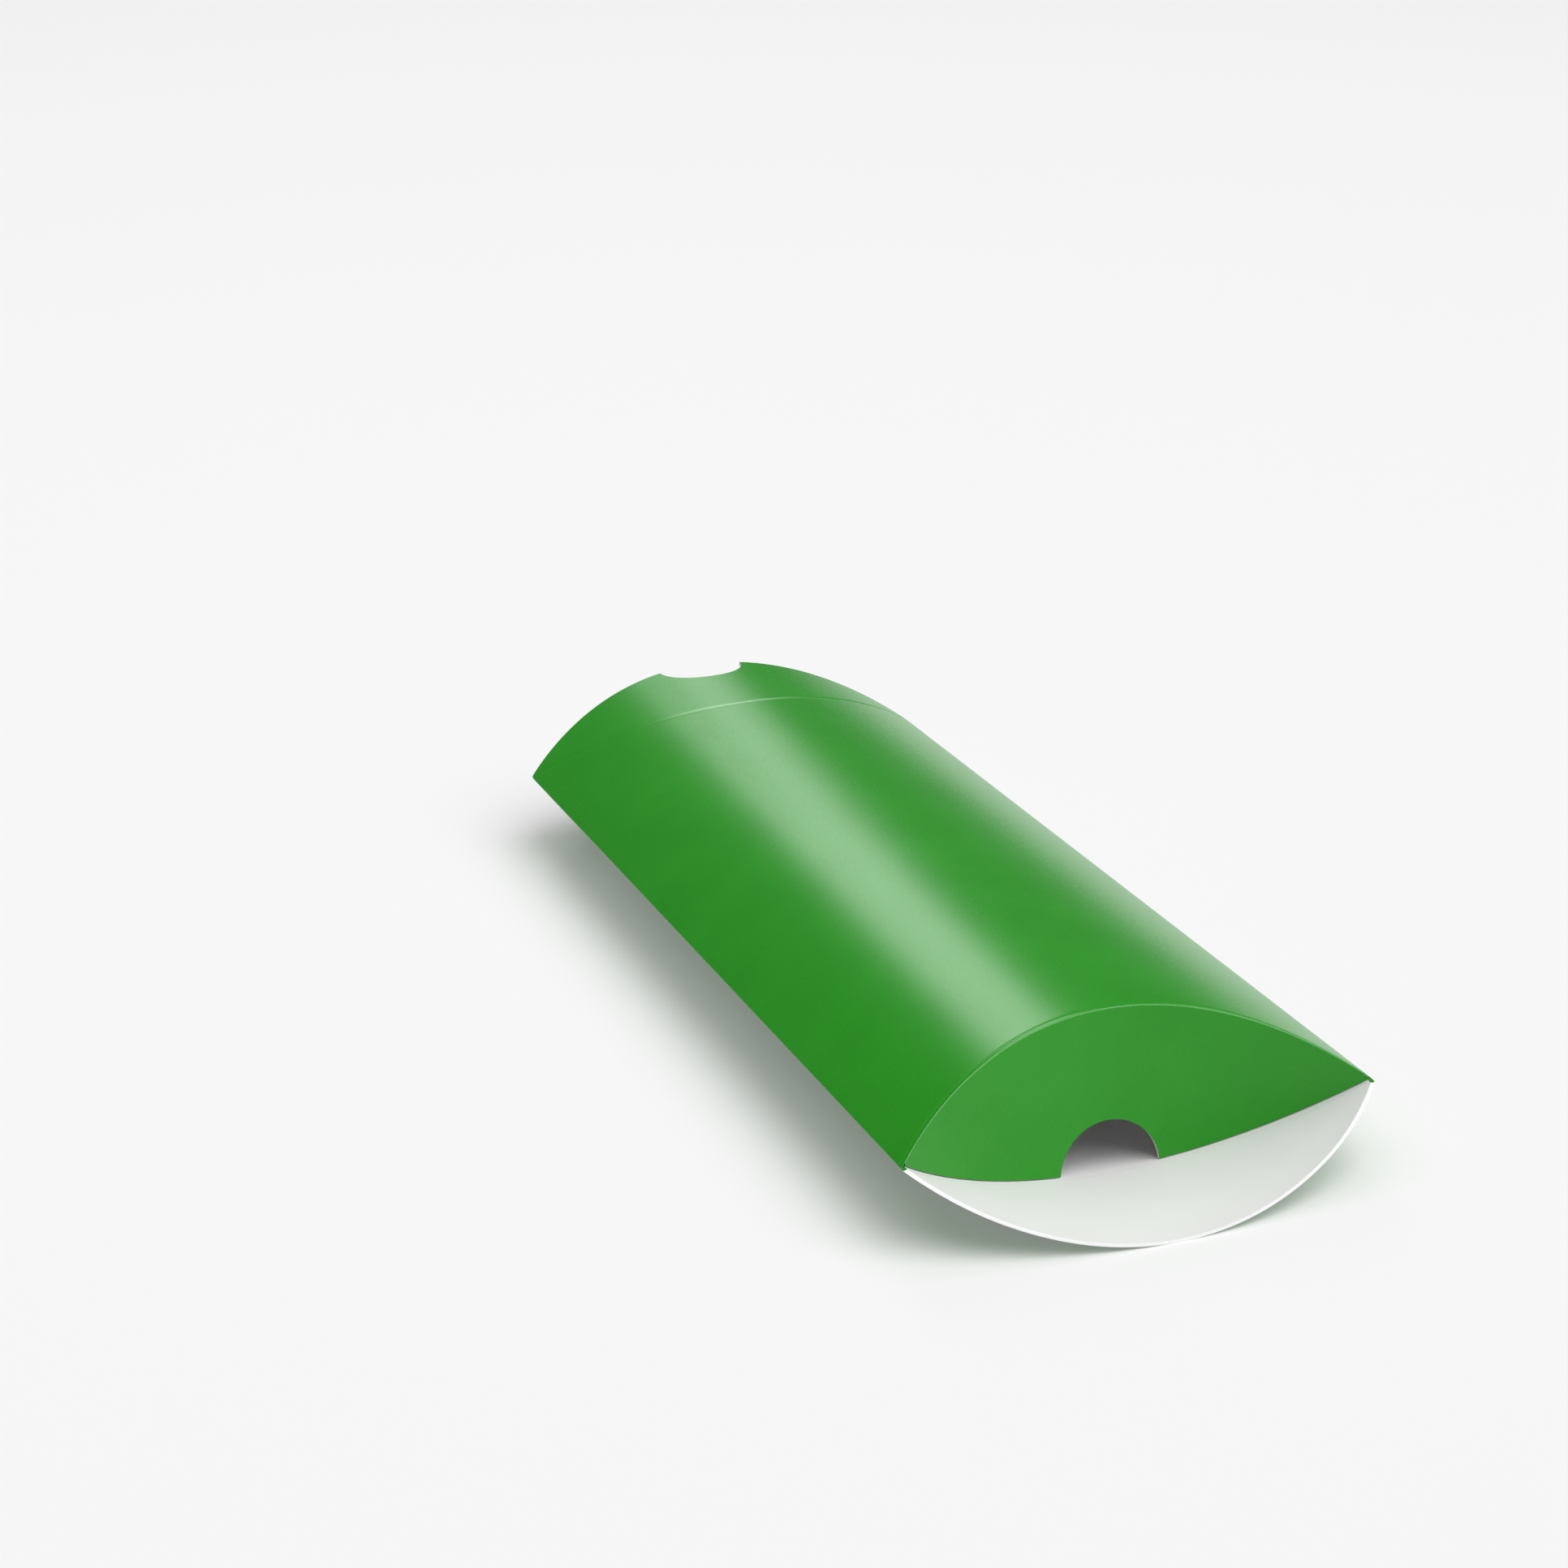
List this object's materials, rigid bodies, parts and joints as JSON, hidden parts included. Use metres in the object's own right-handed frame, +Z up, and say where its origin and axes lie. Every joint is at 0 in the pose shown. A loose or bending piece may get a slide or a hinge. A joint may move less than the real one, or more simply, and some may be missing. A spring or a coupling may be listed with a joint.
{
  "type": "pillow box",
  "caption": "Gift box folded from one sheet of printed board: two curved panels with curved tuck flaps at both ends, notched ones above and plain ones below.",
  "frame": {"origin": "under the middle of the box, where the lower panel's belly rests", "axes": "+X across the box to the glued edge, +Y along the box to the open rear end, +Z up through the upper panel"},
  "size_m": [0.08, 0.2266, 0.028],
  "materials": {
    "board": "satin print outside, bare white inside",
    "glue": "dried white glue"
  },
  "bodies": {
    "sleeve": {"upper_panel": "board", "lower_panel": "board", "glue_tab": "board", "glue_strip": "glue"},
    "front_notched_flap_left_4": {"front_notched_flap_left_4": "board"},
    "front_notched_flap_left_3": {"front_notched_flap_left_3": "board"},
    "front_notched_flap_left_2": {"front_notched_flap_left_2": "board"},
    "front_notched_flap_left_1": {"front_notched_flap_left_1": "board"},
    "front_notched_flap_middle": {"front_notched_flap_middle": "board"},
    "front_notched_flap_right_1": {"front_notched_flap_right_1": "board"},
    "front_notched_flap_right_2": {"front_notched_flap_right_2": "board"},
    "front_notched_flap_right_3": {"front_notched_flap_right_3": "board"},
    "front_notched_flap_right_4": {"front_notched_flap_right_4": "board"},
    "front_plain_flap_left_4": {"front_plain_flap_left_4": "board"},
    "front_plain_flap_left_3": {"front_plain_flap_left_3": "board"},
    "front_plain_flap_left_2": {"front_plain_flap_left_2": "board"},
    "front_plain_flap_left_1": {"front_plain_flap_left_1": "board"},
    "front_plain_flap_middle": {"front_plain_flap_middle": "board"},
    "front_plain_flap_right_1": {"front_plain_flap_right_1": "board"},
    "front_plain_flap_right_2": {"front_plain_flap_right_2": "board"},
    "front_plain_flap_right_3": {"front_plain_flap_right_3": "board"},
    "front_plain_flap_right_4": {"front_plain_flap_right_4": "board"},
    "rear_notched_flap_left_4": {"rear_notched_flap_left_4": "board"},
    "rear_notched_flap_left_3": {"rear_notched_flap_left_3": "board"},
    "rear_notched_flap_left_2": {"rear_notched_flap_left_2": "board"},
    "rear_notched_flap_left_1": {"rear_notched_flap_left_1": "board"},
    "rear_notched_flap_middle": {"rear_notched_flap_middle": "board"},
    "rear_notched_flap_right_1": {"rear_notched_flap_right_1": "board"},
    "rear_notched_flap_right_2": {"rear_notched_flap_right_2": "board"},
    "rear_notched_flap_right_3": {"rear_notched_flap_right_3": "board"},
    "rear_notched_flap_right_4": {"rear_notched_flap_right_4": "board"},
    "rear_plain_flap_left_4": {"rear_plain_flap_left_4": "board"},
    "rear_plain_flap_left_3": {"rear_plain_flap_left_3": "board"},
    "rear_plain_flap_left_2": {"rear_plain_flap_left_2": "board"},
    "rear_plain_flap_left_1": {"rear_plain_flap_left_1": "board"},
    "rear_plain_flap_middle": {"rear_plain_flap_middle": "board"},
    "rear_plain_flap_right_1": {"rear_plain_flap_right_1": "board"},
    "rear_plain_flap_right_2": {"rear_plain_flap_right_2": "board"},
    "rear_plain_flap_right_3": {"rear_plain_flap_right_3": "board"},
    "rear_plain_flap_right_4": {"rear_plain_flap_right_4": "board"}
  },
  "joints": [
    {"name": "front_notched_flap_fold", "type": "hinge", "parent": "sleeve", "child": "front_notched_flap_middle", "pos_m": [0, -0.08618, 0.02782], "axis": [1, 0, 0], "range_deg": [-90, 0]},
    {"name": "front_notched_flap_left_bend_1", "type": "hinge", "parent": "front_notched_flap_middle", "child": "front_notched_flap_left_1", "pos_m": [-0.00479, -0.08618, 0.02782], "axis": [0, 0, 1], "range_deg": [-17.2, 0]},
    {"name": "front_notched_flap_left_bend_2", "type": "hinge", "parent": "front_notched_flap_left_1", "child": "front_notched_flap_left_2", "pos_m": [-0.01428, -0.08761, 0.02639], "axis": [0, 0, 1], "range_deg": [-17.2, 0]},
    {"name": "front_notched_flap_left_bend_3", "type": "hinge", "parent": "front_notched_flap_left_2", "child": "front_notched_flap_left_3", "pos_m": [-0.02344, -0.09044, 0.02356], "axis": [0, 0, 1], "range_deg": [-17.2, 0]},
    {"name": "front_notched_flap_left_bend_4", "type": "hinge", "parent": "front_notched_flap_left_3", "child": "front_notched_flap_left_4", "pos_m": [-0.03208, -0.0946, 0.0194], "axis": [0, 0, 1], "range_deg": [-17.2, 0]},
    {"name": "front_notched_flap_right_bend_1", "type": "hinge", "parent": "front_notched_flap_middle", "child": "front_notched_flap_right_1", "pos_m": [0.00479, -0.08618, 0.02782], "axis": [0, 0, -1], "range_deg": [-17.2, 0]},
    {"name": "front_notched_flap_right_bend_2", "type": "hinge", "parent": "front_notched_flap_right_1", "child": "front_notched_flap_right_2", "pos_m": [0.01428, -0.08761, 0.02639], "axis": [0, 0, -1], "range_deg": [-17.2, 0]},
    {"name": "front_notched_flap_right_bend_3", "type": "hinge", "parent": "front_notched_flap_right_2", "child": "front_notched_flap_right_3", "pos_m": [0.02344, -0.09044, 0.02356], "axis": [0, 0, -1], "range_deg": [-17.2, 0]},
    {"name": "front_notched_flap_right_bend_4", "type": "hinge", "parent": "front_notched_flap_right_3", "child": "front_notched_flap_right_4", "pos_m": [0.03208, -0.0946, 0.0194], "axis": [0, 0, -1], "range_deg": [-17.2, 0]},
    {"name": "front_plain_flap_fold", "type": "hinge", "parent": "sleeve", "child": "front_plain_flap_middle", "pos_m": [0, -0.08773, 0.00018], "axis": [-1, 0, 0], "range_deg": [0, 90]},
    {"name": "front_plain_flap_left_bend_1", "type": "hinge", "parent": "front_plain_flap_middle", "child": "front_plain_flap_left_1", "pos_m": [-0.00479, -0.08773, 0.00018], "axis": [0, -1, 0], "range_deg": [0, 17.2]},
    {"name": "front_plain_flap_left_bend_2", "type": "hinge", "parent": "front_plain_flap_left_1", "child": "front_plain_flap_left_2", "pos_m": [-0.01428, -0.08916, 0.00161], "axis": [0, -1, 0], "range_deg": [0, 17.2]},
    {"name": "front_plain_flap_left_bend_3", "type": "hinge", "parent": "front_plain_flap_left_2", "child": "front_plain_flap_left_3", "pos_m": [-0.02344, -0.09199, 0.00444], "axis": [0, -1, 0], "range_deg": [0, 17.2]},
    {"name": "front_plain_flap_left_bend_4", "type": "hinge", "parent": "front_plain_flap_left_3", "child": "front_plain_flap_left_4", "pos_m": [-0.03208, -0.09615, 0.0086], "axis": [0, -1, 0], "range_deg": [0, 17.2]},
    {"name": "front_plain_flap_right_bend_1", "type": "hinge", "parent": "front_plain_flap_middle", "child": "front_plain_flap_right_1", "pos_m": [0.00479, -0.08773, 0.00018], "axis": [0, 1, 0], "range_deg": [0, 17.2]},
    {"name": "front_plain_flap_right_bend_2", "type": "hinge", "parent": "front_plain_flap_right_1", "child": "front_plain_flap_right_2", "pos_m": [0.01428, -0.08916, 0.00161], "axis": [0, 1, 0], "range_deg": [0, 17.2]},
    {"name": "front_plain_flap_right_bend_3", "type": "hinge", "parent": "front_plain_flap_right_2", "child": "front_plain_flap_right_3", "pos_m": [0.02344, -0.09199, 0.00444], "axis": [0, 1, 0], "range_deg": [0, 17.2]},
    {"name": "front_plain_flap_right_bend_4", "type": "hinge", "parent": "front_plain_flap_right_3", "child": "front_plain_flap_right_4", "pos_m": [0.03208, -0.09615, 0.0086], "axis": [0, 1, 0], "range_deg": [0, 17.2]},
    {"name": "rear_notched_flap_fold", "type": "hinge", "parent": "sleeve", "child": "rear_notched_flap_middle", "pos_m": [0, 0.08618, 0.02782], "axis": [-1, 0, 0], "range_deg": [0, 90]},
    {"name": "rear_notched_flap_left_bend_1", "type": "hinge", "parent": "rear_notched_flap_middle", "child": "rear_notched_flap_left_1", "pos_m": [-0.00479, 0.08618, 0.02782], "axis": [0, 1, 0], "range_deg": [0, 17.2]},
    {"name": "rear_notched_flap_left_bend_2", "type": "hinge", "parent": "rear_notched_flap_left_1", "child": "rear_notched_flap_left_2", "pos_m": [-0.01428, 0.08761, 0.02639], "axis": [0, 1, 0], "range_deg": [0, 17.2]},
    {"name": "rear_notched_flap_left_bend_3", "type": "hinge", "parent": "rear_notched_flap_left_2", "child": "rear_notched_flap_left_3", "pos_m": [-0.02344, 0.09044, 0.02356], "axis": [0, 1, 0], "range_deg": [0, 17.2]},
    {"name": "rear_notched_flap_left_bend_4", "type": "hinge", "parent": "rear_notched_flap_left_3", "child": "rear_notched_flap_left_4", "pos_m": [-0.03208, 0.0946, 0.0194], "axis": [0, 1, 0], "range_deg": [0, 17.2]},
    {"name": "rear_notched_flap_right_bend_1", "type": "hinge", "parent": "rear_notched_flap_middle", "child": "rear_notched_flap_right_1", "pos_m": [0.00479, 0.08618, 0.02782], "axis": [0, -1, 0], "range_deg": [0, 17.2]},
    {"name": "rear_notched_flap_right_bend_2", "type": "hinge", "parent": "rear_notched_flap_right_1", "child": "rear_notched_flap_right_2", "pos_m": [0.01428, 0.08761, 0.02639], "axis": [0, -1, 0], "range_deg": [0, 17.2]},
    {"name": "rear_notched_flap_right_bend_3", "type": "hinge", "parent": "rear_notched_flap_right_2", "child": "rear_notched_flap_right_3", "pos_m": [0.02344, 0.09044, 0.02356], "axis": [0, -1, 0], "range_deg": [0, 17.2]},
    {"name": "rear_notched_flap_right_bend_4", "type": "hinge", "parent": "rear_notched_flap_right_3", "child": "rear_notched_flap_right_4", "pos_m": [0.03208, 0.0946, 0.0194], "axis": [0, -1, 0], "range_deg": [0, 17.2]},
    {"name": "rear_plain_flap_fold", "type": "hinge", "parent": "sleeve", "child": "rear_plain_flap_middle", "pos_m": [0, 0.08773, 0.00018], "axis": [1, 0, 0], "range_deg": [0, 90]},
    {"name": "rear_plain_flap_left_bend_1", "type": "hinge", "parent": "rear_plain_flap_middle", "child": "rear_plain_flap_left_1", "pos_m": [-0.00479, 0.08773, 0.00018], "axis": [0, -1, 0], "range_deg": [0, 17.2]},
    {"name": "rear_plain_flap_left_bend_2", "type": "hinge", "parent": "rear_plain_flap_left_1", "child": "rear_plain_flap_left_2", "pos_m": [-0.01428, 0.08916, 0.00161], "axis": [0, -1, 0], "range_deg": [0, 17.2]},
    {"name": "rear_plain_flap_left_bend_3", "type": "hinge", "parent": "rear_plain_flap_left_2", "child": "rear_plain_flap_left_3", "pos_m": [-0.02344, 0.09199, 0.00444], "axis": [0, -1, 0], "range_deg": [0, 17.2]},
    {"name": "rear_plain_flap_left_bend_4", "type": "hinge", "parent": "rear_plain_flap_left_3", "child": "rear_plain_flap_left_4", "pos_m": [-0.03208, 0.09615, 0.0086], "axis": [0, -1, 0], "range_deg": [0, 17.2]},
    {"name": "rear_plain_flap_right_bend_1", "type": "hinge", "parent": "rear_plain_flap_middle", "child": "rear_plain_flap_right_1", "pos_m": [0.00479, 0.08773, 0.00018], "axis": [0, 1, 0], "range_deg": [0, 17.2]},
    {"name": "rear_plain_flap_right_bend_2", "type": "hinge", "parent": "rear_plain_flap_right_1", "child": "rear_plain_flap_right_2", "pos_m": [0.01428, 0.08916, 0.00161], "axis": [0, 1, 0], "range_deg": [0, 17.2]},
    {"name": "rear_plain_flap_right_bend_3", "type": "hinge", "parent": "rear_plain_flap_right_2", "child": "rear_plain_flap_right_3", "pos_m": [0.02344, 0.09199, 0.00444], "axis": [0, 1, 0], "range_deg": [0, 17.2]},
    {"name": "rear_plain_flap_right_bend_4", "type": "hinge", "parent": "rear_plain_flap_right_3", "child": "rear_plain_flap_right_4", "pos_m": [0.03208, 0.09615, 0.0086], "axis": [0, 1, 0], "range_deg": [0, 17.2]}
  ],
  "couplings": [
    {"joint": "front_notched_flap_left_bend_1", "follows": "front_notched_flap_fold", "ratio": 0.19052},
    {"joint": "front_notched_flap_left_bend_2", "follows": "front_notched_flap_fold", "ratio": 0.19052},
    {"joint": "front_notched_flap_left_bend_3", "follows": "front_notched_flap_fold", "ratio": 0.19052},
    {"joint": "front_notched_flap_left_bend_4", "follows": "front_notched_flap_fold", "ratio": 0.19052},
    {"joint": "front_notched_flap_right_bend_1", "follows": "front_notched_flap_fold", "ratio": 0.19052},
    {"joint": "front_notched_flap_right_bend_2", "follows": "front_notched_flap_fold", "ratio": 0.19052},
    {"joint": "front_notched_flap_right_bend_3", "follows": "front_notched_flap_fold", "ratio": 0.19052},
    {"joint": "front_notched_flap_right_bend_4", "follows": "front_notched_flap_fold", "ratio": 0.19052},
    {"joint": "front_plain_flap_left_bend_1", "follows": "front_plain_flap_fold", "ratio": 0.19052},
    {"joint": "front_plain_flap_left_bend_2", "follows": "front_plain_flap_fold", "ratio": 0.19052},
    {"joint": "front_plain_flap_left_bend_3", "follows": "front_plain_flap_fold", "ratio": 0.19052},
    {"joint": "front_plain_flap_left_bend_4", "follows": "front_plain_flap_fold", "ratio": 0.19052},
    {"joint": "front_plain_flap_right_bend_1", "follows": "front_plain_flap_fold", "ratio": 0.19052},
    {"joint": "front_plain_flap_right_bend_2", "follows": "front_plain_flap_fold", "ratio": 0.19052},
    {"joint": "front_plain_flap_right_bend_3", "follows": "front_plain_flap_fold", "ratio": 0.19052},
    {"joint": "front_plain_flap_right_bend_4", "follows": "front_plain_flap_fold", "ratio": 0.19052},
    {"joint": "rear_notched_flap_left_bend_1", "follows": "rear_notched_flap_fold", "ratio": 0.19052},
    {"joint": "rear_notched_flap_left_bend_2", "follows": "rear_notched_flap_fold", "ratio": 0.19052},
    {"joint": "rear_notched_flap_left_bend_3", "follows": "rear_notched_flap_fold", "ratio": 0.19052},
    {"joint": "rear_notched_flap_left_bend_4", "follows": "rear_notched_flap_fold", "ratio": 0.19052},
    {"joint": "rear_notched_flap_right_bend_1", "follows": "rear_notched_flap_fold", "ratio": 0.19052},
    {"joint": "rear_notched_flap_right_bend_2", "follows": "rear_notched_flap_fold", "ratio": 0.19052},
    {"joint": "rear_notched_flap_right_bend_3", "follows": "rear_notched_flap_fold", "ratio": 0.19052},
    {"joint": "rear_notched_flap_right_bend_4", "follows": "rear_notched_flap_fold", "ratio": 0.19052},
    {"joint": "rear_plain_flap_left_bend_1", "follows": "rear_plain_flap_fold", "ratio": 0.19052},
    {"joint": "rear_plain_flap_left_bend_2", "follows": "rear_plain_flap_fold", "ratio": 0.19052},
    {"joint": "rear_plain_flap_left_bend_3", "follows": "rear_plain_flap_fold", "ratio": 0.19052},
    {"joint": "rear_plain_flap_left_bend_4", "follows": "rear_plain_flap_fold", "ratio": 0.19052},
    {"joint": "rear_plain_flap_right_bend_1", "follows": "rear_plain_flap_fold", "ratio": 0.19052},
    {"joint": "rear_plain_flap_right_bend_2", "follows": "rear_plain_flap_fold", "ratio": 0.19052},
    {"joint": "rear_plain_flap_right_bend_3", "follows": "rear_plain_flap_fold", "ratio": 0.19052},
    {"joint": "rear_plain_flap_right_bend_4", "follows": "rear_plain_flap_fold", "ratio": 0.19052}
  ]
}
